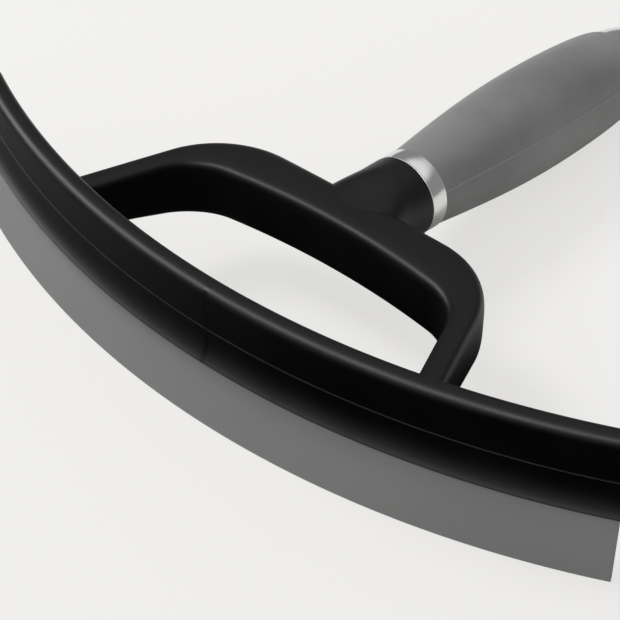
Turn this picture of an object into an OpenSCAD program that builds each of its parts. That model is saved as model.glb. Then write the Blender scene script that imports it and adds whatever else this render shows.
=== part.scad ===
// Sweat scraper for horses: a curved bar that holds a rubber lip, a D-shaped
// yoke with a neck, and a soft-grip handle with a ferrule and an end cap.
// It lies on the lower edge of its lip and on the belly of its grip, at z = 0.
// Origin: the middle of the lip's lower edge. +Y runs towards the handle.

/* [Head] */
// Radius of the bar's top front edge, seen from above
arc_r = 280; // [250:1:320]
// Half of the angle that the bar spans, up to its rounded ends
bar_half_angle = 25.6; // [22:0.1:28]
// Height of the bar's mouth, where the lip comes out, above the lip's edge
mouth_z = 20.2; // [16:0.1:24]
// Height of the bar from its mouth to its top
bar_h = 25.3; // [22:0.1:30]
// How far the bar's outer face stands out from arc_r
face_out = 0.7; // [0.4:0.1:1.5]
// Width of the bar at its top
bar_top_w = 6.1; // [5:0.1:9]
// Radius of the rounding along both top edges
top_round = 2.4; // [1:0.1:2.5]
// Radius of the corners at both ends, seen from above
end_round = 2.6; // [1.5:0.1:3.5]
// Radius of the small rounding at the mouth's edges
mouth_round = 0.8; // [0.3:0.1:1]
// Step at the mould line on the outer face
mould_step = 0.2; // [0.1:0.05:0.4]
// Height of the mould line above the mouth
mould_line_h = 10.6; // [9:0.1:12]
// Height of the flare at the bottom of the outer face
flare_h = 7.3; // [5:0.1:8.5]
// How far the flare stands out from the outer face
flare_out = 3.1; // [2:0.1:4]

/* [Lip] */
// Half of the angle that the rubber lip spans
lip_half_angle = 25.3; // [21:0.1:25.4]
// Lean of the lip away from the handle
lip_lean = 15; // [14:0.5:17]
// Thickness of the lip in its slot
lip_t = 2.6; // [2:0.1:3]
// Thickness of the lip at its lower edge
lip_edge_t = 2; // [1:0.1:2.4]
// Where the middle of the lip's lower edge lies, outside arc_r
lip_edge_out = 5.65; // [5:0.05:6]
// Radius of the bead that keeps the lip in its slot
bead_r = 1.7; // [1.5:0.1:2]
// Height of the bead's centre above the mouth
bead_h = 9.8; // [8:0.1:11]
// Clearance of the lip in its slot
slot_gap = 0.1; // [0.05:0.05:0.2]

/* [Yoke] */
// Half width of the opening where its corners begin
opening_corner_x = 35.4; // [28:1:38]
// Distance from the front edge of the bar to the far side of the opening
opening_y = 47.9; // [44:0.1:56]
// Radius of the opening's corners
opening_corner_r = 19; // [12:0.5:21]
// Half width between the outer corners' centres
yoke_corner_x = 29.5; // [26:0.5:34]
// Width of the crossbar in plan
crossbar_w = 18.1; // [15:0.1:20]
// Radius of the yoke's outer corners
yoke_corner_r = 30.4; // [24:0.1:33]
// Lean of the legs towards the middle
leg_lean = 20; // [15:1:24]
// Bow of the opening's far side away from the bar
opening_bow = 2.8; // [0:0.1:4]
// Height of the yoke's section at the feet of its legs
leg_h = 16.5; // [14:0.5:18]
// Height of the yoke's section in the crossbar
crossbar_h = 20.4; // [17:0.1:22]
// Depth of the yoke's top below the bar's top, at the front edge of the bar
yoke_below_top = 5.2; // [3:0.1:6]
// Angle at which the yoke's top falls away from the bar
yoke_droop = 2.1; // [0:0.1:4]

/* [Handle] */
// Depth of the handle's axis below the bar's top, at the front edge of the bar
axis_below_top = 9.5; // [8:0.1:11]
// Radius of the neck at the ferrule
neck_r = 12.9; // [12:0.1:14]
// Distance from the front edge of the bar to the end of the neck
neck_end = 82.4; // [78:0.1:90]
// Length of the neck's round end
neck_round_l = 6; // [4:0.5:8]
// Length of the ferrule
ferrule_l = 6.6; // [4:0.1:10]
// Radius of the ferrule between its lips
ferrule_r = 12.5; // [12:0.1:14]
// How far the ferrule's lips stand out
ferrule_lip = 0.4; // [0.2:0.1:0.6]
// Width of the ferrule's rolled lips
ferrule_lip_w = 0.9; // [0.6:0.1:1.2]
// Wall of the ferrule between its lips
ferrule_t = 2.2; // [1.6:0.1:2.6]
// Radius of the grip at the ferrule
grip_r0 = 12.5; // [12:0.1:14]
// Largest radius of the grip
grip_r = 16.9; // [15:0.1:19]
// Radius of the grip at the end cap
grip_r1 = 13.6; // [13:0.1:15]
// Length of the grip
grip_l = 102; // [92:1:120]
// Distance from the grip's front to its thickest place
grip_belly = 60; // [50:1:75]
// Width of the two moulded seams on the grip
seam_w = 0.6; // [0.3:0.1:1]
// Distance of the seams' ends from the grip's ends
seam_end = 2; // [1:0.5:6]
// Angle of the seams above the grip's sides
seam_angle = 21; // [0:1:30]
// Length of the end cap
cap_l = 24; // [18:0.5:40]
// Radius of the end cap where it meets the grip
cap_r = 13.3; // [12.5:0.1:13.6]
// Bevel of the end cap's rim
cap_bevel = 0.4; // [0.2:0.1:0.8]

/* [Handle core] */
// Radius of the yoke's stem inside the core
stem_r = 6; // [5:0.1:7]
// Length of the stem past the neck
stem_l = 70; // [40:1:90]
// Outer radius of the rigid core under the grip
core_r = 9.8; // [8.5:0.1:10.5]
// How far the core reaches into the end cap
core_in_cap = 11; // [6:0.5:12]
// How much deeper the core's bore is than the stem is long
stem_free = 1; // [0.5:0.5:3]
// Clearance between the handle's parts that slide onto each other
fit_gap = 0.05; // [0.03:0.01:0.1]

/* [Hidden] */
$fn = 96;
head_fn = 360;

// How far a cutting tool runs out past the surface that it opens
CUT = 1;
// Steps of the curves
LEG_STEPS = 7;
CORNER_STEPS = 10;
BAR_STEPS = 8;
SECTION_STEPS = 28;
SWELL_STEPS = 24;
FALL_STEPS = 18;
SEAM_STEPS = 26;
DOME_STEPS = 15;

// Places that follow from the sizes above
bar_top_z = mouth_z + bar_h;
bar_out_r = arc_r + face_out;
bar_in_r = bar_out_r - bar_top_w;
lip_edge_r = arc_r + lip_edge_out;
front_y = lip_edge_r - arc_r;
axis_z = bar_top_z - axis_below_top;
ferrule_s = neck_end;
grip_s = ferrule_s + ferrule_l;
cap_s = grip_s + grip_l;
core_end = cap_s + core_in_cap;

// The grip's radius at station s along the handle: a sine swell up to the belly
// and a quarter of an ellipse from there to the end.
function grip_radius(s) =
    s < grip_belly
        ? grip_r0 + (grip_r - grip_r0) * sin(90 * s / grip_belly)
        : grip_r1 + (grip_r - grip_r1) * sqrt(max(0, 1 - pow((s - grip_belly) / (grip_l - grip_belly), 2)));

// The handle droops until the grip's belly touches z = 0: this is the angle at
// which station s, of radius r, would touch, and the least of them comes first.
function touch_angle(s, r) = asin(axis_z / norm([s, r])) - atan(r / s);
droop = min([for (s = [grip_belly / 2 : 1 : grip_l]) touch_angle(grip_s + s, grip_radius(s))]);

// Points of an arc round c, from angle a to angle b
function arc(c, r, a, b, n = 8) =
    [for (i = [0 : n]) c + r * [cos(a + (b - a) * i / n), sin(a + (b - a) * i / n)]];

// Places a profile's revolved solid round the arc's own centre, over +-half degrees
module round_head(half) {
    translate([0, lip_edge_r, 0])
        rotate([0, 0, -90 - half])
            rotate_extrude(angle = 2 * half, $fn = head_fn) children();
}

// Puts children on the handle's axis: their own +Z runs along the handle and
// starts at the front edge of the bar
module on_handle() {
    translate([0, front_y, axis_z])
        rotate([-90 - droop, 0, 0]) children();
}

// ---- Bar ----

// The lip's middle line at height z
function lip_mid(z) = lip_edge_r - z * tan(lip_lean);

// Outer outline of the bar's section, in radius and height
flare_top = [bar_out_r + mould_step, mouth_z + flare_h];
flare_turn = 2 * atan(flare_out / flare_h);
flare_r = flare_h / sin(flare_turn);
mouth_out_r = flare_top[0] + flare_out;
bar_outline = concat(
    arc([bar_in_r + top_round, bar_top_z - top_round], top_round, 180, 90),
    arc([bar_out_r - top_round, bar_top_z - top_round], top_round, 90, 0),
    [[bar_out_r, mouth_z + mould_line_h], [bar_out_r + mould_step, mouth_z + mould_line_h - mould_step]],
    [for (a = [0 : flare_turn / 6 : flare_turn + 0.01])
        flare_top + [flare_r * (1 - cos(a)), -flare_r * sin(a) + mouth_round]],
    arc([mouth_out_r - mouth_round, mouth_z + mouth_round], mouth_round, 0, -90, 5),
    arc([bar_in_r + mouth_round, mouth_z + mouth_round], mouth_round, -90, -180, 5)
);

// The lip's own outline, grown by a gap: 0 for the lip, a clearance for its slot
module lip_profile(gap) {
    bead_z = mouth_z + bead_h;
    half = (lip_t / 2 + gap) / cos(lip_lean);
    edge = (lip_edge_t / 2 + gap) / cos(lip_lean);
    translate([lip_mid(bead_z), bead_z]) circle(r = bead_r + gap, $fn = 48);
    polygon([
        [lip_mid(0) - edge, 0],
        [lip_mid(0) + edge, 0],
        [lip_mid(mouth_z) + half, mouth_z],
        [lip_mid(bead_z) + half, bead_z],
        [lip_mid(bead_z) - half, bead_z],
        [lip_mid(mouth_z) - half, mouth_z]
    ]);
}

// Seen from above: a band round the arc, its ends square with rounded corners
module bar_plan() {
    inner_r = bar_in_r + end_round;
    outer_r = mouth_out_r - end_round;
    translate([0, lip_edge_r]) {
        difference() {
            circle(r = mouth_out_r, $fn = head_fn);
            circle(r = bar_in_r, $fn = head_fn);
            for (side = [-1, 1])
                rotate(side * bar_half_angle)
                    translate([side < 0 ? -2 * arc_r : 0, -2 * arc_r])
                        square([2 * arc_r, 4 * arc_r]);
            translate([-2 * arc_r, 0]) square([4 * arc_r, 2 * arc_r]);
        }
        for (side = [-1, 1])
            rotate(side * bar_half_angle) {
                translate([-end_round, -outer_r]) square([2 * end_round, outer_r - inner_r]);
                translate([0, -inner_r]) circle(r = end_round, $fn = 48);
                translate([0, -outer_r]) circle(r = end_round, $fn = 48);
            }
    }
}

module head_bar() {
    color([0.07, 0.07, 0.07])
        difference() {
            intersection() {
                round_head(bar_half_angle + 2) polygon(bar_outline);
                translate([0, 0, mouth_z - 1]) linear_extrude(bar_h + 2) bar_plan();
            }
            round_head(bar_half_angle + 3) lip_profile(slot_gap);
        }
}

module lip() {
    color([0.48, 0.48, 0.48])
        round_head(lip_half_angle) lip_profile(0);
}

// ---- Yoke, neck and stem ----

// One side of a rail of the yoke in plan, from the leg's foot to the middle: a
// straight leg, a corner arc and half of the crossbar. A bow makes the crossbar's
// side a wide arc that runs on smoothly from the corner
function rail(cx, cy, r, bow, foot_y) =
    let (tangent = [cx + r * cos(leg_lean), cy + r * sin(leg_lean)],
         drop = tangent[1] - foot_y,
         foot = tangent + drop * [tan(leg_lean), -1],
         turn = 2 * atan(bow / cx),
         wide_r = bow > 0 ? r + cx / sin(turn) : 0)
    concat(
        [for (i = [0 : LEG_STEPS - 1]) foot + (tangent - foot) * i / LEG_STEPS],
        [for (i = [0 : CORNER_STEPS - 1])
            let (a = leg_lean + (90 - turn - leg_lean) * i / CORNER_STEPS)
            [cx + r * cos(a), cy + r * sin(a)]],
        [for (i = [0 : BAR_STEPS])
            let (t = 1 - i / BAR_STEPS)
            bow > 0
                ? [wide_r * sin(turn * t), cy + r + bow - wide_r * (1 - cos(turn * t))]
                : [cx * t, cy + r]]
    );
function mirrored(points) =
    concat(points, [for (i = [len(points) - 2 : -1 : 0]) [-points[i][0], points[i][1]]]);

// The rails start just behind the bar's inner wall; the feet are then slid onto it
FOOT_CLEAR = 3;
foot_x = opening_corner_x + opening_corner_r + (opening_y - opening_corner_r) * tan(leg_lean);
foot_y = arc_r - sqrt(pow(bar_in_r, 2) - pow(foot_x, 2)) + FOOT_CLEAR;
inner_rail = mirrored(rail(opening_corner_x, opening_y - opening_corner_r, opening_corner_r,
    opening_bow, foot_y));
outer_rail = mirrored(rail(yoke_corner_x, opening_y + crossbar_w - yoke_corner_r, yoke_corner_r,
    0, foot_y));

// A point of the yoke in the part's frame: x, distance along its sloping top from
// the front edge of the bar, and depth under that top
yoke_top_z = bar_top_z - yoke_below_top;
function yoke_point(x, y, depth) =
    [x,
     front_y + y * cos(yoke_droop) - depth * sin(yoke_droop),
     yoke_top_z - y * sin(yoke_droop) - depth * cos(yoke_droop)];

// Height of the section at distance y: it grows from the feet to the crossbar
function yoke_height(y) =
    let (t = max(0, min(1, (y - foot_y) / (opening_y + crossbar_w / 2 - foot_y))))
    leg_h + (crossbar_h - leg_h) * t * t * (3 - 2 * t);

// The section between the two rails is a rounded square, made of two halves of
// superellipses: a crisper one on the side of the opening, a rounder one outside
INNER_POWER = 5;
OUTER_POWER = 4.2;
function rounded(v, power) = sign(v) * pow(abs(v), 2 / power);
function yoke_ring(inner, outer) =
    let (mid = (inner + outer) / 2, half = (outer - inner) / 2, height = yoke_height(mid[1]))
    [for (j = [0 : SECTION_STEPS - 1])
        let (a = 360 * j / SECTION_STEPS,
             power = cos(a) < 0 ? INNER_POWER : OUTER_POWER,
             p = mid + half * rounded(cos(a), power))
        yoke_point(p[0], p[1], height / 2 * (1 - rounded(sin(a), power)))];

// Slides a point along the direction of a leg until it lies on the bar's inner wall
function onto_bar(p, side) =
    let (d = [side * sin(leg_lean), -cos(leg_lean)],
         q = [p[0], p[1] - lip_edge_r],
         b = q * d,
         t = -b + sqrt(b * b - q * q + bar_in_r * bar_in_r))
    [p[0] + t * d[0], p[1] + t * d[1], p[2]];

module yoke_loop() {
    rings = [for (i = [0 : len(inner_rail) - 1]) yoke_ring(inner_rail[i], outer_rail[i])];
    last = len(rings) - 1;
    seated = concat(
        [[for (p = rings[0]) onto_bar(p, 1)]],
        [for (i = [1 : last - 1]) rings[i]],
        [[for (p = rings[last]) onto_bar(p, -1)]]);
    n = SECTION_STEPS;
    polyhedron(
        points = [for (ring = seated) each ring],
        faces = concat(
            [for (j = [1 : n - 2]) [0, j + 1, j]],
            [for (j = [1 : n - 2]) [last * n, last * n + j, last * n + j + 1]],
            [for (i = [0 : last - 1]) for (j = [0 : n - 1])
                [i * n + j, i * n + (j + 1) % n, (i + 1) * n + (j + 1) % n, (i + 1) * n + j]]));
}

// The neck grows out of the crossbar: a flattened ball in the middle of the
// crossbar, drawn out to the neck's round end
NECK_ROOT_SCALE = [1.12, 0.62, 0.55];
module neck_root() {
    hull() {
        on_handle() translate([0, 0, opening_y + crossbar_w / 2])
            scale(NECK_ROOT_SCALE) sphere(r = neck_r, $fn = 40);
        on_handle() translate([0, 0, neck_end - neck_round_l]) cylinder(r = neck_r, h = neck_round_l, $fn = 48);
    }
}

module yoke() {
    color([0.08, 0.08, 0.08]) {
        yoke_loop();
        neck_root();
        on_handle() translate([0, 0, neck_end - neck_round_l]) cylinder(r = stem_r, h = neck_round_l + stem_l);
    }
}

// ---- Handle ----

// The ring is a shallow channel between two rolled lips
module ferrule() {
    bore = ferrule_r - ferrule_t;
    edge = ferrule_lip_w;
    rim = ferrule_r + ferrule_lip;
    color([0.8, 0.8, 0.8])
        on_handle() translate([0, 0, ferrule_s])
            rotate_extrude() polygon(concat(
                [[bore, 0]],
                arc([rim - edge / 2, edge / 2], edge / 2, -90, 90, 6),
                [[ferrule_r - ferrule_lip, edge], [ferrule_r, ferrule_l / 2],
                 [ferrule_r - ferrule_lip, ferrule_l - edge]],
                arc([rim - edge / 2, ferrule_l - edge / 2], edge / 2, -90, 90, 6),
                [[bore, ferrule_l]]));
}

// A rod with a seat for the ferrule at its front and a bore for the yoke's stem
module handle_core() {
    seat_r = ferrule_r - ferrule_t - fit_gap;
    color([0.15, 0.15, 0.15])
        on_handle() translate([0, 0, ferrule_s])
            difference() {
                union() {
                    cylinder(r = seat_r, h = ferrule_l);
                    cylinder(r = core_r, h = core_end - ferrule_s);
                }
                translate([0, 0, -CUT]) cylinder(r = stem_r + fit_gap, h = stem_l + stem_free + CUT);
            }
}

// A thin groove that follows the grip's swell
module seam(side) {
    from = seam_end;
    to = grip_l - seam_end;
    rotate([0, 0, side * seam_angle])
        rotate([90, 0, 0])
            translate([0, 0, -seam_w / 2])
                linear_extrude(seam_w)
                    polygon([
                        for (i = [0 : SEAM_STEPS])
                            let (s = from + (to - from) * i / SEAM_STEPS)
                            [side * (grip_radius(s) - seam_w / 2), s],
                        [side * 2 * grip_r, to],
                        [side * 2 * grip_r, from]
                    ]);
}

module grip_sleeve() {
    bore = core_r + fit_gap;
    color([0.42, 0.42, 0.42])
        on_handle() translate([0, 0, grip_s])
            difference() {
                rotate_extrude() polygon(concat(
                    [[bore, grip_l], [bore, 0]],
                    [for (i = [0 : SWELL_STEPS - 1])
                        let (s = grip_belly * i / SWELL_STEPS) [grip_radius(s), s]],
                    [for (i = [0 : FALL_STEPS])
                        let (s = grip_belly + (grip_l - grip_belly) * sin(90 * i / FALL_STEPS))
                        [grip_radius(s), s]]));
                seam(1);
                seam(-1);
            }
}

// A dome, half of an ellipse turned about the axis, on a bevelled rim
module end_cap() {
    color([0.75, 0.75, 0.75])
        on_handle() translate([0, 0, cap_s])
            difference() {
                rotate_extrude() polygon(concat(
                    [[0, 0], [cap_r - cap_bevel, 0]],
                    [for (i = [0 : DOME_STEPS])
                        let (a = 90 * i / DOME_STEPS)
                        [cap_r * cos(a), cap_bevel + (cap_l - cap_bevel) * sin(a)]]));
                translate([0, 0, -CUT]) cylinder(r = core_r + fit_gap, h = core_in_cap + fit_gap + CUT);
            }
}

head_bar();
lip();
yoke();
ferrule();
handle_core();
grip_sleeve();
end_cap();
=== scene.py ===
# %% [markdown]
# # A horse sweat scraper, dressed in Blender
#
# The tool strips water and sweat from a wet coat: a curved black bar holds a grey
# rubber lip, a D-shaped yoke joins the bar to a neck, and the neck carries a
# soft-grip handle between a chrome ferrule and a chrome end cap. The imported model
# gives the frame. This lesson keeps every piece where the frame has it, lays a
# smoother skin over it, and gives each surface its finish.

import math

import bpy
import numpy as np
from mathutils import Matrix, Vector


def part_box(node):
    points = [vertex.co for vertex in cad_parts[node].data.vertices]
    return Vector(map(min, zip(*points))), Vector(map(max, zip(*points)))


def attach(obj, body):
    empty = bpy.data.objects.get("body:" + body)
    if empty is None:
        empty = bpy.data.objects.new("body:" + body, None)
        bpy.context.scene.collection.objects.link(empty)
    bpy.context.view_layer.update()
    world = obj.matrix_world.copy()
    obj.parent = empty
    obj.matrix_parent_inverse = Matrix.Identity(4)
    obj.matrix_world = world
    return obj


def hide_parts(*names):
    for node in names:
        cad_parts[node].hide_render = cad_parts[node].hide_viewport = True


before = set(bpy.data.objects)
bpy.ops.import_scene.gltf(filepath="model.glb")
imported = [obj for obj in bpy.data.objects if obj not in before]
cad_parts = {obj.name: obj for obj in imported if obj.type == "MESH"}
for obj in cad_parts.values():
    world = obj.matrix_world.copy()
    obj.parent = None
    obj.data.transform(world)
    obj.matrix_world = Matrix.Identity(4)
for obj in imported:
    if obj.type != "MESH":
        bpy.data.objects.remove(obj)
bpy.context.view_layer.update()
MM = 0.001
print("nodes:", ", ".join(sorted(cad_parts)))

# %% [markdown]
# ## Driving sizes
#
# A few sizes steer every surface below. Those that the frame can answer are read
# from it, such as the height of the bar's top or the place of the ferrule, so the
# skins follow the frame when it changes. The rest are the tool's own sizes, in
# metres. The head is part of a circle: ARC_R is its radius, FRONT_Y says how far
# the bar's front stands behind the lip's edge, and both together give its centre.

# %% Driving sizes
ARC_R = 280 * MM
FRONT_Y = 5.65 * MM
HEAD_CENTRE_Y = ARC_R + FRONT_Y
bar_low, bar_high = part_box("head_bar")
BAR_TOP = bar_high.z
MOUTH = bar_low.z
print(f"bar from {MOUTH / MM:.1f} to {BAR_TOP / MM:.1f} mm high")

# %% [markdown]
# ## The handle's axis
#
# The tool lies on the lip's edge and on the belly of its grip, so the handle
# droops a little towards its end. Each round piece could be made upright and
# turned into place afterwards, but a piece's object has to stay unturned. So the
# droop goes into the points themselves: the axis is a line in the middle plane,
# from above the bar's front through the middle of the ferrule's box, and one
# function puts any station along it, with its offsets, into the tool's frame.

# %% The handle's axis
def box_middle(node):
    """The middle of a node's box, from its lowest and highest corners."""
    low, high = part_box(node)
    return (low + high) / 2


AXIS_BELOW_TOP = 9.5 * MM
AXIS_START = Vector((0, FRONT_Y, BAR_TOP - AXIS_BELOW_TOP))
AXIS = (box_middle("ferrule") - AXIS_START).normalized()
DROOP = math.atan2(-AXIS.z, AXIS.y)
UP = Vector((0, math.sin(DROOP), math.cos(DROOP)))
print(f"the handle droops by {math.degrees(DROOP):.2f} degrees")

# %% Places along the handle
def along(node, end):
    """Station of a round node's front (0) or back (1) face along the axis."""
    low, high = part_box(node)
    radius = (high.x - low.x) / 2
    length = ((high.y - low.y) - 2 * radius * math.sin(DROOP)) / math.cos(DROOP)
    middle = ((low.y + high.y) / 2 - AXIS_START.y) / AXIS.y
    return middle + (end - 0.5) * length


def on_axis(station, across, height):
    """Arrays of places: stations along the axis, offsets across (+X) and up from it."""
    station, across, height = np.broadcast_arrays(station, across, height)
    start, axis, up = (np.array(v) for v in (AXIS_START, AXIS, UP))
    place = start + station[..., None] * axis + height[..., None] * up
    place[..., 0] += across
    return place


FERRULE_S = along("ferrule", 0)
GRIP_S = along("ferrule", 1)
FERRULE_R = (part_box("ferrule")[1].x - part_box("ferrule")[0].x) / 2
print(f"ferrule from {FERRULE_S / MM:.1f} to {GRIP_S / MM:.1f} mm along the handle")

# %% [markdown]
# ## Meshes from grids
#
# Every skin is a grid of points that a formula gives: rows run one way over the
# surface and columns the other. Box modelling with bevels would do for one piece,
# but a formula keeps every skin tied to the sizes above. One helper turns a grid
# into a mesh: it closes on itself round its columns, as a tube does, and a flat
# face shuts its first and its last row. The whole array goes in at once, with no
# loop over vertices.

# %% Meshes from grids
SHARP = math.radians(35)


def grid_piece(name, points):
    """A closed tube from an array of rows x columns x 3 points, its columns going round."""
    rows, cols = points.shape[:2]
    index = np.arange(rows * cols).reshape(rows, cols)
    here, ahead = index[:-1], index[1:]
    quads = np.stack([here, ahead, np.roll(ahead, -1, 1), np.roll(here, -1, 1)], -1).reshape(-1, 4)
    faces = [*quads.tolist(), index[0].tolist(), index[-1][::-1].tolist()]
    mesh = bpy.data.meshes.new(name)
    mesh.from_pydata(points.reshape(-1, 3).tolist(), [], faces)
    piece = bpy.data.objects.new(name, mesh)
    bpy.context.scene.collection.objects.link(piece)
    face_outwards(mesh)
    mesh.shade_smooth()
    mesh.set_sharp_from_angle(angle=SHARP)
    return piece


def face_outwards(mesh):
    """Turns a closed mesh right side out: the sum of a . (b x c) over its triangles,
    which is six times its volume, must be positive."""
    mesh.calc_loop_triangles()
    places = np.empty(3 * len(mesh.vertices), np.float32)
    mesh.vertices.foreach_get("co", places)
    corners = np.empty(3 * len(mesh.loop_triangles), np.int32)
    mesh.loop_triangles.foreach_get("vertices", corners)
    a, b, c = places.reshape(-1, 3)[corners].reshape(-1, 3, 3).transpose(1, 0, 2)
    if np.einsum("ij,ij->i", a, np.cross(b, c)).sum() < 0:
        mesh.flip_normals()


# %% Dressing a node
def dress(piece, node, material):
    """The piece stands for a CAD node, rides on the one body and wears its material."""
    piece.data.materials.append(material)
    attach(piece, "root")
    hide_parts(node)
    print(f"{piece.name}: {len(piece.data.polygons)} faces")


# %% [markdown]
# ## Outlines of sections
#
# A moulded section is a closed outline of flats and small roundings. It is easiest
# to write as a few arcs joined by straight lines. Stepping evenly round the
# outline afterwards puts points on the flats too, so that smooth shading bends
# only at the roundings and the flats stay flat.

# %% Outlines of sections
def arc(centre, radius, start, stop, steps=14):
    """Points on a circle round the centre, from one angle in degrees to another."""
    angle = np.radians(np.linspace(start, stop, steps))
    return np.stack([centre[0] + radius * np.cos(angle), centre[1] + radius * np.sin(angle)], -1)


def even_steps(outline, step):
    """The closed outline again, with points a step apart measured along it."""
    closed = np.vstack([outline, outline[:1]])
    run = np.concatenate([[0], np.cumsum(np.linalg.norm(np.diff(closed, axis=0), axis=1))])
    at = np.linspace(0, run[-1], int(run[-1] / step), endpoint=False)
    return np.stack([np.interp(at, run, closed[:, k]) for k in (0, 1)], -1)


# %% [markdown]
# ## Shader maths as Python
#
# A material is a graph of nodes. Writing each sum as a node by hand hides the
# idea, so a small class wraps one socket and lets ordinary Python operators add
# the Math nodes. Colours go through Mix nodes instead, because a Math node would
# turn them grey. A second class holds one material, or the world: its node method
# makes every node, and the others are short names for the nodes used most.

# %% Shader maths as Python
class Wire:
    """One output socket of a material, with arithmetic that adds Math nodes."""

    def __init__(self, paint, socket):
        self.paint = paint
        self.socket = socket

    def math(self, operation, *others):
        """A Math node whose first input is this wire."""
        values = {0: self}
        values.update({i + 1: other for i, other in enumerate(others)})
        return self.paint.node("ShaderNodeMath", {"operation": operation}, values)

    def __add__(self, other):
        return self.math("ADD", other)

    __radd__ = __add__

    def __mul__(self, other):
        return self.math("MULTIPLY", other)

    __rmul__ = __mul__

    def __sub__(self, other):
        return self.math("SUBTRACT", other)

    def __rsub__(self, other):
        return self * -1 + other

    def size(self):
        """The value without its sign."""
        return self.math("ABSOLUTE")

    def ramp_between(self, low, high):
        """0 below low, 1 above high and smooth between: low may be the larger."""
        values = {"Value": self, "From Min": low, "From Max": high, "To Min": 0.0, "To Max": 1.0}
        return self.paint.node("ShaderNodeMapRange", {"interpolation_type": "SMOOTHSTEP"}, values)


# %% One material's nodes
class Paint:
    """The nodes of a material or a world: one method makes them, and they end in a shader."""

    def __init__(self, block, shader="Principled BSDF"):
        block.use_nodes = True
        self.block = block
        self.tree = block.node_tree
        self.shader = self.tree.nodes[shader]

    def node(self, kind, settings=None, values=None, output=0):
        """A node of a kind: its settings first, then the values or wires of its sockets."""
        made = self.tree.nodes.new(kind)
        for key, value in (settings or {}).items():
            setattr(made, key, value)
        for key, value in (values or {}).items():
            self.plug(made.inputs[key], value)
        return Wire(self, made.outputs[output])

    def plug(self, socket, value):
        """Joins a wire to a socket, or writes a plain value into it."""
        if isinstance(value, Wire):
            self.tree.links.new(value.socket, socket)
        else:
            socket.default_value = value

    def set(self, **values):
        """Sets the shader's own sockets; an underscore stands for a space in a name."""
        for key, value in values.items():
            self.plug(self.shader.inputs[key.replace("_", " ")], value)

    def place(self):
        """Object coordinates: with every piece at the origin, these are the tool's own."""
        return self.node("ShaderNodeTexCoord", output=3)

    def axes(self):
        """The tool's x, y and z in metres, as three wires."""
        parts = self.node("ShaderNodeSeparateXYZ", values={0: self.place()}).socket.node
        return [Wire(self, parts.outputs[i]) for i in range(3)]

    def noise(self, scale, detail):
        """Cloudy noise from 0 to 1; its scale is the number of clouds in a metre."""
        values = {"Vector": self.place(), "Scale": scale, "Detail": detail, "Roughness": 0.55}
        return self.node("ShaderNodeTexNoise", {"noise_dimensions": "3D"}, values)

    def colours(self, low, high, mask):
        """A mix of two colours, the first of which may be a wire, by a mask from 0 to 1."""
        first = low if isinstance(low, Wire) else (*low, 1)
        values = {0: mask, 6: first, 7: (*high, 1)}
        return self.node("ShaderNodeMix", {"data_type": "RGBA"}, values, output=2)

    def bump(self, height, strength, distance):
        """A slope for the shading, worked out from a height; no surface moves."""
        values = {"Height": height, "Strength": strength, "Distance": distance}
        return self.node("ShaderNodeBump", values=values)


def grey(level):
    """A colour with three equal parts."""
    return (level, level, level)


print("a Paint makes nodes, and a Wire adds them up")

# %% [markdown]
# ## Black moulded plastic
#
# The head is one black moulding with a satin skin. A mould that was blasted with
# fine beads leaves a grain far under a millimetre, which spreads the light a
# little more here and less there. Where the two flows of plastic met, at the
# middle of the bar, a weld line stays: a thin dark smear down the outer face. The
# smear could be a groove in the mesh, but nothing of it can be felt, so it lives
# in the colour and the roughness, and a fine bump carries the grain.

# %% Black moulded plastic
BLACK = 0.0012
WELD_BLACK = 0.0004
WELD_HALF = 1.6 * MM
WELD_CORE = 0.2 * MM
WELD_WOBBLE = 1.2 * MM
FACE_FULL_Y = 8 * MM
FACE_GONE_Y = 16 * MM


def black_plastic():
    """Two blacks in soft clouds, and on the weld line a darker, smoother one."""
    paint = Paint(bpy.data.materials.new("black_plastic"))
    x, y = paint.axes()[:2]
    grain = paint.noise(2600.0, 2.0)
    cloud = paint.noise(55.0, 3.0)
    wobble = (paint.noise(180.0, 2.0) - 0.5) * WELD_WOBBLE
    front = y.ramp_between(FACE_GONE_Y, FACE_FULL_Y)
    weld = (x + wobble).size().ramp_between(WELD_HALF, WELD_CORE) * front
    even = paint.colours(grey(BLACK * 0.85), grey(BLACK * 1.25), cloud.ramp_between(0.35, 0.65))
    tone = paint.colours(even, grey(WELD_BLACK), weld * 0.8)
    rough = 0.40 + (cloud - 0.5) * 0.10 - weld * 0.12 + (grain - 0.5) * 0.05
    paint.set(Base_Color=tone, Roughness=rough, Normal=paint.bump(grain, 0.10, 0.05 * MM))
    paint.set(Specular_IOR_Level=0.30)
    return paint.block


PLASTIC = black_plastic()
print(PLASTIC.name, "has", len(PLASTIC.node_tree.nodes), "nodes")

# %% [markdown]
# ## Grey rubber of the lip
#
# The lip is a strip of soft grey rubber, smooth from its mould and quite matt. It
# carries faint cloudy tones and long fine marks along its length, and its lower
# edge, cut square, is a little paler. The marks could follow the lip through a map
# of its own, but height stays the same along the whole lip, so a noise that reads
# only the height draws them with no map at all.

# %% Grey rubber of the lip
LIP_GREY = 0.225
WORN_H = 1.4 * MM
MARKS_PER_M = 900.0


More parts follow.
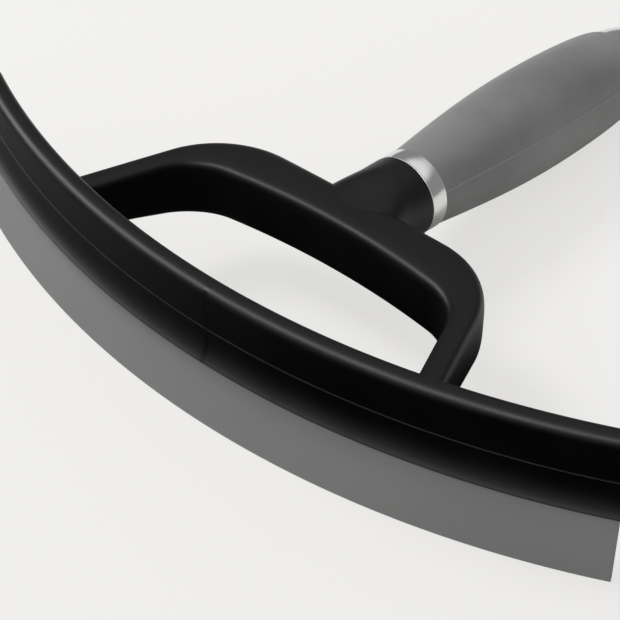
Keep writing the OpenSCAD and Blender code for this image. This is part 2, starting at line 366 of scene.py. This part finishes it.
def grey_rubber():
    """Two greys by clouds, by marks along the lip and by the worn edge; a fine bump."""
    paint = Paint(bpy.data.materials.new("grey_rubber"))
    z = paint.axes()[2]
    cloud = paint.noise(28.0, 4.0)
    speck = paint.noise(1500.0, 2.0)
    values = {"W": z * MARKS_PER_M, "Scale": 1.0, "Detail": 4.0}
    marks = paint.node("ShaderNodeTexNoise", {"noise_dimensions": "1D"}, values)
    worn = z.ramp_between(WORN_H, 0.2 * MM) * 0.35
    mask = (cloud - 0.5) * 0.8 + 0.45 + (marks - 0.5) * 0.25 + worn
    tone = paint.colours(grey(LIP_GREY * 0.93), grey(LIP_GREY * 1.07), mask)
    rough = 0.62 + (cloud - 0.5) * 0.12 + (speck - 0.5) * 0.08
    height = speck * 0.5 + marks * 0.5
    paint.set(Base_Color=tone, Roughness=rough, Normal=paint.bump(height, 0.08, 0.04 * MM))
    paint.set(Specular_IOR_Level=0.35)
    return paint.block


RUBBER = grey_rubber()
print(RUBBER.name, "has", len(RUBBER.node_tree.nodes), "nodes")

# %% [markdown]
# ## Soft-touch grip
#
# The sleeve is a softer, finer rubber: matt, warm to the hand, with a dusting of
# tiny pits and a polish where fingers rub. Two cloud patterns at different scales
# keep it from looking like paint. The raised mould seams catch the light, and that
# highlight is painted on them as a paler grey. The seams could be found from
# coordinates, but the grip's mesh already knows where they are, so it carries an
# attribute named seam, and the painted highlight reads that.

# %% Soft-touch grip
GRIP_GREY = 0.19
# Painted highlight: the paler grey stands for the light caught by the raised seams.
SEAM_HIGHLIGHT_GREY = 0.27


def soft_grip():
    """Two greys by clouds and pits, a paler painted highlight on the seams; the pits are the bump.
    """
    paint = Paint(bpy.data.materials.new("soft_grip"))
    cloud = paint.noise(34.0, 4.0)
    pits = paint.noise(2200.0, 2.0)
    patch = cloud.ramp_between(0.3, 0.7) * 0.8 + (pits - 0.5) * 0.2
    even = paint.colours(grey(GRIP_GREY * 0.84), grey(GRIP_GREY * 1.18), patch)
    # The seam attribute masks the painted highlight on the raised seams.
    seam = paint.node("ShaderNodeAttribute", {"attribute_name": "seam"}, output=2)
    tone = paint.colours(even, grey(SEAM_HIGHLIGHT_GREY), seam)
    rough = 0.55 + (cloud - 0.5) * 0.16 + (pits - 0.5) * 0.10
    paint.set(Base_Color=tone, Roughness=rough, Normal=paint.bump(pits, 0.16, 0.05 * MM))
    paint.set(Specular_IOR_Level=0.42, Sheen_Weight=0.12, Sheen_Roughness=0.5)
    return paint.block


GRIP = soft_grip()
print(GRIP.name, "has", len(GRIP.node_tree.nodes), "nodes")

# %% [markdown]
# ## Plated plastic
#
# The ferrule and the end cap are plated, bright as a mirror but not quite even:
# plating waves slightly and picks up hairline rubs. A perfect mirror would look
# drawn, and real scratches would be too much for a new tool, so a low roughness
# with a little cloud in it and a very shallow bump do it.

# %% Plated plastic
def chrome_plate():
    """A metal whose tone, roughness and shallow waves follow one cloud."""
    paint = Paint(bpy.data.materials.new("chrome_plate"))
    cloud = paint.noise(90.0, 3.0)
    rubs = paint.noise(1800.0, 2.0)
    tone = paint.colours((0.80, 0.80, 0.81), (0.88, 0.88, 0.88), cloud)
    rough = 0.15 + (cloud - 0.5) * 0.10 + (rubs - 0.5) * 0.05
    paint.set(Base_Color=tone, Roughness=rough, Normal=paint.bump(cloud, 0.12, 0.15 * MM))
    paint.set(Metallic=1.0)
    return paint.block


CHROME = chrome_plate()
print(CHROME.name, "has", len(CHROME.node_tree.nodes), "nodes")

# %% [markdown]
# ## Plain core plastic
#
# The core is hidden in the grip. A skin of its own would never show, so it keeps
# its CAD shape. It gets a plain, slightly mottled plastic, as a rough moulding has
# that nobody is meant to see.

# %% Plain core plastic
def core_plastic():
    """Two dark greys in soft clouds."""
    paint = Paint(bpy.data.materials.new("core_plastic"))
    cloud = paint.noise(120.0, 3.0)
    tone = paint.colours(grey(0.02), grey(0.035), cloud)
    paint.set(Base_Color=tone, Roughness=0.5 + (cloud - 0.5) * 0.2)
    return paint.block


core_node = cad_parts["handle_core"]
core_node.data.materials.clear()
core_node.data.materials.append(core_plastic())
print("handle_core wears", core_node.data.materials[0].name)

# %% [markdown]
# ## The bar
#
# The bar is one section carried round the head's arc. From its rounded top the
# outer face drops straight, with a hairline ridge where the mould's halves met,
# and flares out above the mouth. A curve with a bevel profile would sweep it too,
# but its ends would stay cut off square. Here the section turns round the arc's
# centre: radius and height stay, only the angle changes. Near each end it shrinks
# along a quarter circle, which rounds the end off.

# %% The bar's section
FACE_OUT = 0.7 * MM
TOP_WIDTH = 6.1 * MM
FRONT_ROUND = 3.5 * MM
BACK_ROUND = 2.4 * MM
MOUTH_ROUND = 0.4 * MM
MOULD_LINE = 10.6 * MM
MOULD_RIDGE = 0.27 * MM
MOULD_HALF = 0.36 * MM
MOULD_FOOT = 0.03 * MM
FLARE_H = 8.4 * MM
FLARE_OUT = 3.1 * MM


def bar_outline():
    """The bar's closed section in radius and height, going round from the inner wall."""
    outer = ARC_R + FACE_OUT
    inner = outer - TOP_WIDTH
    turn = 2 * math.degrees(math.atan(FLARE_OUT / FLARE_H))
    flare_r = FLARE_H / math.sin(math.radians(turn))
    flare_top = MOUTH + FLARE_H + MOUTH_ROUND
    line = MOUTH + MOULD_LINE
    above = (outer, line + MOULD_HALF)
    crest = (outer + MOULD_RIDGE, line)
    below = (outer + MOULD_FOOT, line - MOULD_HALF)
    return np.vstack([
        arc((inner + BACK_ROUND, BAR_TOP - BACK_ROUND), BACK_ROUND, 180, 90),
        arc((outer - FRONT_ROUND, BAR_TOP - FRONT_ROUND), FRONT_ROUND, 90, 0, 20),
        [above, crest, below],
        arc((outer + flare_r, flare_top), flare_r, 180, 180 + turn),
        arc((outer + FLARE_OUT - MOUTH_ROUND, MOUTH + MOUTH_ROUND), MOUTH_ROUND, 0, -90, 8),
        arc((inner + MOUTH_ROUND, MOUTH + MOUTH_ROUND), MOUTH_ROUND, -90, -180, 8),
    ])


# %% A section carried round the head
ARC_STEPS = 200


def carried_round(outline, half_angle, end_round):
    """Turns a section of radius and height round the head's centre, ends rounded off.

    x = radius sin(angle), y = centre - radius cos(angle). Over the end's rounding
    the section shrinks by end_round (1 - sin) while the angle still grows by a cos."""
    end_angle = end_round / ARC_R
    bend = np.radians(np.linspace(0, 90, 10))
    whole = np.ones(ARC_STEPS - 2)
    angles = np.concatenate([
        -half_angle - end_angle * np.cos(bend),
        np.linspace(-half_angle, half_angle, ARC_STEPS)[1:-1],
        half_angle + end_angle * np.cos(bend[::-1]),
    ])
    shrink = end_round * (1 - np.concatenate([np.sin(bend), whole, np.sin(bend[::-1])]))
    middle = (outline.min(0) + outline.max(0)) / 2
    half = (outline.max(0) - outline.min(0)) / 2
    scale = 1 - shrink[:, None] / half
    section = middle + (outline - middle) * scale[:, None, :]
    radius, height = section[..., 0], section[..., 1]
    turn = angles[:, None]
    return np.stack([radius * np.sin(turn), HEAD_CENTRE_Y - radius * np.cos(turn), height], -1)


# %% The bar
END_ROUND = 2.6 * MM
BAR_STEP = 0.3 * MM
OUTERMOST = ARC_R + FACE_OUT + FLARE_OUT
HEAD_HALF_ANGLE = math.asin((bar_high.x - END_ROUND) / (OUTERMOST - END_ROUND))
bar_section = even_steps(bar_outline(), BAR_STEP)
bar_skin = grid_piece("bar_skin", carried_round(bar_section, HEAD_HALF_ANGLE, END_ROUND))
dress(bar_skin, "head_bar", PLASTIC)

# %% [markdown]
# ## The rubber lip
#
# The lip leans away from the handle and thins towards its edge. Its bead and root
# are hidden in the bar's slot, so the skin starts a few millimetres inside the
# mouth. It could be a flat strip that a modifier bends, but the same turn round
# the head's centre makes it fit the bar exactly. The corners of the cut edge are
# only just broken, and the ends are cut square.

# %% The rubber lip
LEAN = math.radians(15)
LIP_T = 2.6 * MM
EDGE_T = 2.0 * MM
EDGE_BREAK = 0.25 * MM
LIP_STEP = 0.25 * MM
LIP_ROOT = MOUTH + 6 * MM
LIP_HALF_ANGLE = math.asin(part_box("lip")[1].x / (HEAD_CENTRE_Y + EDGE_T / 2 / math.cos(LEAN)))


def lip_outline():
    """The lip's section: two leaning faces between the root in the slot and the edge."""
    def middle(height):
        """The radius of the lip's middle: it shrinks by the height times tan(LEAN)."""
        return HEAD_CENTRE_Y - height * math.tan(LEAN)

    root = LIP_T / 2 / math.cos(LEAN)
    edge = EDGE_T / 2 / math.cos(LEAN)
    outer = HEAD_CENTRE_Y + edge
    inner = HEAD_CENTRE_Y - edge
    return np.vstack([
        [(middle(LIP_ROOT) - root, LIP_ROOT), (middle(LIP_ROOT) + root, LIP_ROOT)],
        [(middle(MOUTH) + root, MOUTH)],
        arc((outer - EDGE_BREAK, EDGE_BREAK), EDGE_BREAK, 0, -90, 5),
        arc((inner + EDGE_BREAK, EDGE_BREAK), EDGE_BREAK, -90, -180, 5),
        [(middle(MOUTH) - root, MOUTH)],
    ])


lip_section = even_steps(lip_outline(), LIP_STEP)
lip_skin = grid_piece("lip_skin", carried_round(lip_section, LIP_HALF_ANGLE, 0.0))
dress(lip_skin, "lip", RUBBER)

# %% [markdown]
# ## The yoke
#
# The yoke is a loop shaped like a D. Seen from above it lies between two rails, an
# inner and an outer one: straight legs that spread towards the bar, round corners
# and a crossbar whose inner side bows a little. A section stands between the rails
# at every step. A bevelled box would show its flat faces, so the section is a
# superellipse, |x|^n + |y|^n = 1: a rounded square that never turns quite flat,
# with crisper corners for a larger n. Its height grows from the legs to the
# crossbar, where the handle pulls hardest.

# %% The yoke's rails
LEG_LEAN = math.radians(20)
OPENING_BOW = 2.8 * MM
OPENING_CORNER = (35.4 * MM, 28.9 * MM, 19 * MM)
YOKE_CORNER = (29.5 * MM, 35.6 * MM, 30.4 * MM)
CROSSBAR_MID = 57 * MM
FOOT_Y = 16.2 * MM


def half_rail(corner, bow, legs=26, corners=34, bar=30):
    """One side of a rail in plan: leg, corner arc and half of the crossbar.

    With a bow the crossbar's side is a wide arc that runs on smoothly from the corner."""
    corner_x, corner_y, radius = corner
    lean_x, lean_y = math.cos(LEG_LEAN), math.sin(LEG_LEAN)
    start = np.array([corner_x + radius * lean_x, corner_y + radius * lean_y])
    foot = start + (start[1] - FOOT_Y) * np.array([math.tan(LEG_LEAN), -1])
    leg = foot + (start - foot) * np.linspace(0, 1, legs, endpoint=False)[:, None]
    turn = 2 * math.atan(bow / corner_x)
    angle = np.linspace(LEG_LEAN, math.pi / 2 - turn, corners, endpoint=False)
    bend = np.stack([corner_x + radius * np.cos(angle), corner_y + radius * np.sin(angle)], -1)
    if bow > 0:
        wide = radius + corner_x / math.sin(turn)
        angle = np.linspace(turn, 0, bar)
        depth = corner_y + radius + bow - wide * (1 - np.cos(angle))
        across = np.stack([wide * np.sin(angle), depth], -1)
    else:
        across = np.stack([np.linspace(corner_x, 0, bar), np.full(bar, corner_y + radius)], -1)
    return np.vstack([leg, bend, across])


def whole_rail(half):
    """A half rail from the right foot, then its mirror image on to the left foot."""
    return np.vstack([half, (half * [-1, 1])[-2::-1]])


inner_rail = whole_rail(half_rail(OPENING_CORNER, OPENING_BOW))
outer_rail = whole_rail(half_rail(YOKE_CORNER, 0.0))
crossbar_width = outer_rail[:, 1].max() - inner_rail[:, 1].max()
print(f"crossbar {crossbar_width / MM:.1f} mm wide in the middle")

# %% The yoke's loop
LEG_H = 16.5 * MM
CROSSBAR_H = 20.4 * MM
YOKE_TOP = BAR_TOP - 5.2 * MM
YOKE_DROOP = math.radians(2.1)
INNER_POWER = 5
OUTER_POWER = 4.2
SEAT_DEPTH = 0.6 * MM
SECTION_STEPS = 96


def smooth_step(t):
    """3 t^2 - 2 t^3: from 0 to 1 with a level start and a level end."""
    t = np.clip(t, 0, 1)
    return t * t * (3 - 2 * t)


def rounded_square(inner_power, outer_power):
    """Two half superellipses: across from -1 at the opening to 1 outside, and height.

    Each is the cosine or sine of the angle with its size raised to 2 / n."""
    angle = np.linspace(0, 2 * np.pi, SECTION_STEPS, endpoint=False)
    power = np.where(np.cos(angle) < 0, inner_power, outer_power)
    c, s = np.cos(angle), np.sin(angle)
    across = np.sign(c) * np.abs(c) ** (2 / power)
    height = np.sign(s) * np.abs(s) ** (2 / power)
    return across, height


def under_yoke_top(x, y, depth):
    """Places at a distance y along the yoke's sloping top and at a depth under it."""
    sin, cos = math.sin(YOKE_DROOP), math.cos(YOKE_DROOP)
    return np.stack([x, FRONT_Y + y * cos - depth * sin, YOKE_TOP - y * sin - depth * cos], -1)


def seated_on_bar(points, side):
    """Slides the points of a foot along its leg, a little way into the bar's inner wall."""
    wall = ARC_R + FACE_OUT - TOP_WIDTH + SEAT_DEPTH
    way = np.array([side * math.sin(LEG_LEAN), -math.cos(LEG_LEAN)])
    place = points[:, :2] - [0, HEAD_CENTRE_Y]
    reach = place @ way
    step = -reach + np.sqrt(reach**2 - (place**2).sum(1) + wall**2)
    moved = points.copy()
    moved[:, :2] += step[:, None] * way
    return moved


def yoke_loop():
    """Rounded squares between the rails, from the right foot round to the left one."""
    across, height = rounded_square(INNER_POWER, OUTER_POWER)
    middle = (inner_rail + outer_rail) / 2
    half = (outer_rail - inner_rail) / 2
    plan = middle[:, None, :] + half[:, None, :] * across[None, :, None]
    grown = smooth_step((middle[:, 1] - FOOT_Y) / (CROSSBAR_MID - FOOT_Y))
    tall = LEG_H + (CROSSBAR_H - LEG_H) * grown
    points = under_yoke_top(plan[..., 0], plan[..., 1], tall[:, None] / 2 * (1 - height))
    points[0] = seated_on_bar(points[0], 1)
    points[-1] = seated_on_bar(points[-1], -1)
    return points


yoke_skin = grid_piece("yoke_skin", yoke_loop())
dress(yoke_skin, "yoke", PLASTIC)

# %% [markdown]
# ## The neck
#
# The neck grows out of the crossbar. On top the two run into each other without a
# step, while at the sides the neck leaves the crossbar with a crisp line. A boolean
# union would leave a hard line all round. Instead the top line starts just under
# the crossbar's top and rises smoothly to the neck's own height, and the section
# turns from a rounded square into a circle on the way.

# %% The neck
NECK_R = 12.9 * MM
NECK_START = 55 * MM
NECK_FULL = 76 * MM
NECK_ROOT_HALF = 14.3 * MM
ROOT_POWER = 3.6
TOP_SINK = 0.2 * MM
BOTTOM_SINK = 0.4 * MM
crossbar_top = YOKE_TOP - CROSSBAR_MID * math.sin(YOKE_DROOP)
axis_under_top = crossbar_top - (AXIS_START.z - CROSSBAR_MID * math.sin(DROOP))


def neck_tube():
    """From a rounded square flush with the crossbar to the neck's own circle."""
    growing = np.linspace(NECK_START, NECK_FULL, 40)
    station = np.concatenate([growing, np.linspace(NECK_FULL, FERRULE_S, 8)[1:]])
    t = smooth_step((station - NECK_START) / (NECK_FULL - NECK_START))[:, None]
    angle = np.linspace(0, 2 * np.pi, SECTION_STEPS, endpoint=False)[None, :]
    power = 2 + (ROOT_POWER - 2) * (1 - t)
    c, s = np.cos(angle), np.sin(angle)
    top = (axis_under_top - TOP_SINK) * (1 - t) + NECK_R * t
    bottom = (CROSSBAR_H - axis_under_top - BOTTOM_SINK) * (1 - t) + NECK_R * t
    half_width = NECK_ROOT_HALF * (1 - t) + NECK_R * t
    across = half_width * np.sign(c) * np.abs(c) ** (2 / power)
    height = np.where(s > 0, top, bottom) * np.sign(s) * np.abs(s) ** (2 / power)
    return on_axis(station[:, None], across, height)


neck_skin = grid_piece("neck_skin", neck_tube())
dress(neck_skin, "yoke", PLASTIC)

# %% [markdown]
# ## Round pieces of the handle
#
# Ferrule, grip and cap are turned about the axis: a profile of stations and radii,
# swept round in a full circle. A Screw modifier would do the same for an upright
# piece, but here the axis droops. The ferrule has a rolled front lip that catches
# the light as a bright line, and behind it a wall that rises a little to the back.

# %% Turned pieces
RUN_IN = 2 * MM


def turned(name, profile, round_steps=160):
    """Sweeps a profile of (station, radius) pairs about the handle's axis."""
    angle = np.linspace(0, 2 * np.pi, round_steps, endpoint=False)[None, :]
    station, radius = profile[:, :1], profile[:, 1:]
    return grid_piece(name, on_axis(station, radius * np.cos(angle), radius * np.sin(angle)))


# %% The ferrule
RING_LIP = 0.65 * MM
BACK_LIP = 0.4 * MM
RING_SINK = 0.3 * MM
RING_BULGE = 0.1 * MM


def ferrule_profile():
    """A rolled front lip and a wall that rises to the back; both ends run in.

    The wall is a straight rise plus RING_BULGE sin(pi t), t going from 0 to 1."""
    lip, back_lip = RING_LIP / 2, BACK_LIP / 2
    front = arc((FERRULE_S + lip, FERRULE_R - lip), lip, 180, 20, 12)
    back = arc((GRIP_S - back_lip, FERRULE_R - back_lip), back_lip, 90, 0, 12)
    t = np.linspace(0, 1, 15)
    station = FERRULE_S + RING_LIP + t * (GRIP_S - FERRULE_S - RING_LIP - BACK_LIP)
    radius = FERRULE_R - RING_SINK * (1 - t) + RING_BULGE * np.sin(np.pi * t)
    wall = np.stack([station, radius], -1)
    first = [[FERRULE_S, FERRULE_R - RUN_IN]]
    last = [[GRIP_S, FERRULE_R - RUN_IN]]
    return np.vstack([first, front, wall, back, last])


ferrule_skin = turned("ferrule_skin", ferrule_profile())
dress(ferrule_skin, "ferrule", CHROME)

# %% [markdown]
# ## The grip
#
# The grip swells from the ferrule to its belly along a sine, and comes in again
# along a quarter of an ellipse. Its two mould seams run the whole length as fine
# raised hairlines, a little above the sides. Bump could fake them, but it would not
# break the outline. So they are part of the surface: the radius grows by a hair
# where the angle passes a seam, and the columns of the grid crowd together there.

# %% The grip's shape
grip_low, grip_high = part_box("grip_sleeve")
GRIP_R = (grip_high.x - grip_low.x) / 2
GRIP_R0 = 12.5 * MM
GRIP_R1 = 13.6 * MM
CAP_S = GRIP_S + 102 * MM
BELLY_S = GRIP_S + 60 * MM
SEAM_ANGLE = 21
SEAM_HALF = 0.35 * MM
SEAM_RISE = 0.30 * MM
GRIP_RUN_IN = 1.5 * MM
CROWD_DEGREES = 2.4
CLEAR_DEGREES = 3.5
COLUMN_DEGREES = 2.5


def grip_radius(station):
    """A sine up to the belly, then a quarter of an ellipse.

    First R0 + (R - R0) sin(90 t), then R1 + (R - R1) sqrt(1 - t^2), with t from 0 to 1
    over each stretch."""
    swell = np.sin(np.pi / 2 * (station - GRIP_S) / (BELLY_S - GRIP_S))
    fall = np.sqrt(np.clip(1 - ((station - BELLY_S) / (CAP_S - BELLY_S)) ** 2, 0, 1))
    front = GRIP_R0 + (GRIP_R - GRIP_R0) * swell
    return np.where(station < BELLY_S, front, GRIP_R1 + (GRIP_R - GRIP_R1) * fall)


def grip_angles():
    """Angles round the grip in degrees, crowded at both seams."""
    near = np.linspace(-CROWD_DEGREES, CROWD_DEGREES, 17)
    even = np.arange(0, 360, COLUMN_DEGREES)
    seams = np.array([SEAM_ANGLE, 180 - SEAM_ANGLE])
    away = np.abs((even[:, None] - seams + 180) % 360 - 180).min(1)
    return np.sort(np.concatenate([even[away > CLEAR_DEGREES], *(seam + near for seam in seams)]))


def grip_stations():
    """Places along the axis: even up to the belly, then crowded towards the cap."""
    belly = np.linspace(GRIP_S, BELLY_S, 70)
    turn = np.radians(np.linspace(0, 90, 60))
    return np.concatenate([belly, BELLY_S + (CAP_S - BELLY_S) * np.sin(turn)[1:]])[:, None]


def seam_share(station, degrees):
    """1 on a mould seam, falling in a straight line to 0 at its half width."""
    off = np.minimum(np.abs(degrees - SEAM_ANGLE), np.abs(degrees - 180 + SEAM_ANGLE))
    return np.clip(1 - np.radians(off) * grip_radius(station) / SEAM_HALF, 0, 1)


def grip_surface(station, degrees):
    """The radius at each station, raised on the seams, after a ring that runs in."""
    angle = np.radians(degrees)
    radius = grip_radius(station) + SEAM_RISE * seam_share(station, degrees)
    inside = GRIP_R0 - GRIP_RUN_IN
    lead = on_axis(station[:1], inside * np.cos(angle), inside * np.sin(angle))
    return np.concatenate([lead, on_axis(station, radius * np.cos(angle), radius * np.sin(angle))])


# %% The grip
stations, degrees = grip_stations(), grip_angles()[None, :]
grip_skin = grid_piece("grip_skin", grip_surface(stations, degrees))
share = seam_share(stations, degrees)
share = np.concatenate([share[:1], share]).astype(np.float32)
# The seam share is also the mask of the painted highlight on the seams.
grip_skin.data.attributes.new("seam", "FLOAT", "POINT").data.foreach_set("value", share.ravel())
dress(grip_skin, "grip_sleeve", GRIP)

# %% [markdown]
# ## The end cap
#
# The cap closes the handle as a plated dome. A half sphere would be too blunt, so
# it is a quarter of an ellipse turned about the axis, with a fine shadow gap where
# it meets the grip.

# %% The end cap
cap_low, cap_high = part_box("end_cap")
CAP_R = (cap_high.x - cap_low.x) / 2
CAP_L = 24 * MM
CAP_GAP = 0.4 * MM
TIP_DEGREES = 89.5


def cap_profile():
    """A quarter of an ellipse from the rim to the tip, and a small bevel at the rim.

    Station = start + length sin(turn), radius = CAP_R cos(turn). It stops just short
    of the tip, where a tiny flat face closes it."""
    turn = np.radians(np.linspace(0, TIP_DEGREES, 60))
    dome = np.stack([CAP_S + CAP_GAP + (CAP_L - CAP_GAP) * np.sin(turn), CAP_R * np.cos(turn)], -1)
    rim = [[CAP_S, CAP_R - RUN_IN], [CAP_S, CAP_R - CAP_GAP]]
    return np.vstack([rim, dome])


cap_skin = turned("cap_skin", cap_profile())
dress(cap_skin, "end_cap", CHROME)

# %% [markdown]
# ## Floor
#
# The tool lies on a plain pale floor. The camera sees the floor mostly at its own
# even tone, with a weak shadow of the tool. A floor that is simply white would
# grey the black plastic by its reflection. So reflections see a painted floor: a
# dark patch in front of the bar, lighter towards the left, paints the reflection
# that fades along the bar's front face from the left end to the right, and the
# floor behind stays pale for the plated ring. A Light Path node tells the two kinds
# of ray apart.

# %% Floor
FLOOR_GREY = (0.890, 0.882, 0.868)
EVEN_SHARE = 0.75
# Painted reflection: the floor's tone as the bar's front face mirrors it, dark in front and
# lighter to the left.
PAINTED_REFLECTION_DARK = 0.01
PAINTED_REFLECTION_LEFT = 0.22
PALE_BEHIND = 0.95
PAINTED_REFLECTION_X = (40 * MM, -140 * MM)
PAINTED_REFLECTION_END_Y = (70 * MM, 120 * MM)
FLOOR_HALF = 6.0


def pale_floor():
    """Matt and pale; an even glow for the camera, and for reflections a painted dark patch in
    front, lighter to the left.
    """
    paint = Paint(bpy.data.materials.new("pale_floor"))
    seen = paint.node("ShaderNodeLightPath")
    gloss = paint.node("ShaderNodeLightPath", output=3)
    x, y = paint.axes()[:2]
    # Painted reflection: reflections see the floor dark in front of the bar and lighter to the
    # left.
    painted_reflection = x.ramp_between(*PAINTED_REFLECTION_X) * (PAINTED_REFLECTION_LEFT - PAINTED_REFLECTION_DARK) + PAINTED_REFLECTION_DARK
    behind = y.ramp_between(*PAINTED_REFLECTION_END_Y)
    pale = (PALE_BEHIND - painted_reflection) * behind + painted_reflection
    share = (pale - 1) * gloss + 1 - seen * EVEN_SHARE
    paint.set(Base_Color=paint.colours(grey(0.0), FLOOR_GREY, share), Roughness=0.95)
    glow = tuple(c * EVEN_SHARE for c in FLOOR_GREY)
    paint.set(Emission_Color=paint.colours(grey(0.0), glow, seen), Emission_Strength=1.0)
    paint.set(Specular_IOR_Level=0.0)
    return paint.block


def make_floor():
    """One large square at height 0, in the pale floor's material."""
    mesh = bpy.data.meshes.new("floor")
    corners = np.array([(-1, -1, 0), (1, -1, 0), (1, 1, 0), (-1, 1, 0)]) * FLOOR_HALF
    mesh.from_pydata(corners.tolist(), [], [(0, 1, 2, 3)])
    mesh.materials.append(pale_floor())
    floor = bpy.data.objects.new("floor", mesh)
    bpy.context.scene.collection.objects.link(floor)


make_floor()
print(f"floor {2 * FLOOR_HALF:.0f} m wide")

# %% [markdown]
# ## Lamp
#
# One soft lamp, high on the left, makes the left end of the lip a little brighter
# than the right. A second lamp would draw a second shadow, so the sky gives the
# rest. Reflections don't see the lamp, or it would stand as a white square in every
# plated piece.

# %% Lamp
TARGET = Vector((0, 0.06, 0.03))


def soft_lamp(name, azimuth, elevation, distance, size, power):
    """A square lamp that looks at the tool; azimuth 0 is in front, 90 to the right."""
    a, e = math.radians(azimuth), math.radians(elevation)
    away = Vector((math.sin(a) * math.cos(e), -math.cos(a) * math.cos(e), math.sin(e)))
    data = bpy.data.lights.new(name, "AREA")
    data.size = size
    data.energy = power
    lamp = bpy.data.objects.new(name, data)
    lamp.location = TARGET + away * distance
    lamp.rotation_euler = (-away).to_track_quat("-Z", "Y").to_euler()
    lamp.visible_glossy = False
    bpy.context.scene.collection.objects.link(lamp)


soft_lamp("lamp_key", azimuth=-80, elevation=50, distance=1.6, size=0.55, power=13)
print("lamp_key shines from the left")

# %% [markdown]
# ## Sky
#
# The sky lights the tool evenly. What shines on the black plastic is a long strip
# of light that runs from the left, over the front, to above the right end: every
# part of the bar's rounded top edge then mirrors some of it. A strip made of lamps
# would brighten the floor as well. This one is drawn in the sky for reflections
# alone, so it leaves the level of the light as it is. A direction lies in the strip
# when its dot product with STRIP_NORMAL is close to STRIP_AT.

# %% Sky
SKY = 0.57
LOW_SKY = 0.25
HIGH_SKY = 0.80
STRIP_NORMAL = (0.02, 0.815, 0.579)
STRIP_WAY = (-0.50, -0.56, 0.66)
STRIP_AT = -0.16
STRIP = 7.0
STRIP_EDGES = (0.26, 0.04)
STRIP_ENDS = (0.45, 0.75)
LOW_FRONT = 0.10
LOW_EDGES = (-0.15, -0.35)
HIGH_EDGES = (0.52, 0.74)


def studio_sky():
    """An even sky; reflections see a dull one, with a strip of light over the front."""
    paint = Paint(bpy.data.worlds.new("studio"), "Background")
    way = paint.node("ShaderNodeTexCoord")

    def towards(direction):
        """The dot product of a ray's way with a direction."""
        settings = {"operation": "DOT_PRODUCT"}
        return paint.node("ShaderNodeVectorMath", settings, {0: way, 1: direction}, output=1)

    across = towards(STRIP_NORMAL) - STRIP_AT
    along_it = towards(STRIP_WAY).ramp_between(*STRIP_ENDS)
    strip = across.size().ramp_between(*STRIP_EDGES) * along_it * STRIP
    low = across.ramp_between(*LOW_EDGES) * LOW_FRONT
    rest = towards((0, 0, 1)).ramp_between(*HIGH_EDGES) * (HIGH_SKY - LOW_SKY) + LOW_SKY
    gloss = paint.node("ShaderNodeLightPath", output=3)
    paint.set(Color=(1.0, 0.998, 0.992, 1), Strength=(rest + strip + low - SKY) * gloss + SKY)
    return paint.block


bpy.context.scene.world = studio_sky()
bpy.context.scene.view_settings.view_transform = "Standard"
print("the sky is", bpy.context.scene.world.name)

# %% [markdown]
# ## Camera
#
# The camera looks down on the head from the front right, close enough that the
# bar's left end and the handle's end run out of the frame. A Track To constraint
# could aim it, but it can't roll. So the place is given as an aim point, two
# angles, a distance and a slight roll, and three directions make the matrix.

# %% Camera
AIM = Vector((26.8, 17.8, 44.8)) * MM
AZIMUTH = math.radians(42.57)
ELEVATION = math.radians(41.87)
ROLL = math.radians(-1.22)
DISTANCE = 532 * MM
LENS = 116.1


def make_camera():
    """Stands at the aim plus DISTANCE times back, and looks along -back.

    back = (sin az cos el, -cos az cos el, sin el); right and up turn by the roll."""
    back = Vector((
        math.sin(AZIMUTH) * math.cos(ELEVATION),
        -math.cos(AZIMUTH) * math.cos(ELEVATION),
        math.sin(ELEVATION),
    ))
    right = Vector((math.cos(AZIMUTH), math.sin(AZIMUTH), 0))
    up = back.cross(right)
    turned_right = right * math.cos(ROLL) + up * math.sin(ROLL)
    turned_up = up * math.cos(ROLL) - right * math.sin(ROLL)
    data = bpy.data.cameras.new("camera")
    data.lens = LENS
    data.sensor_width = 36
    data.clip_start = 0.01
    camera = bpy.data.objects.new("camera", data)
    turn = Matrix((turned_right, turned_up, back)).transposed().to_4x4()
    camera.matrix_world = Matrix.Translation(AIM + back * DISTANCE) @ turn
    bpy.context.scene.collection.objects.link(camera)
    bpy.context.scene.camera = camera


make_camera()
print(f"the camera stands {DISTANCE:.2f} m from its aim")
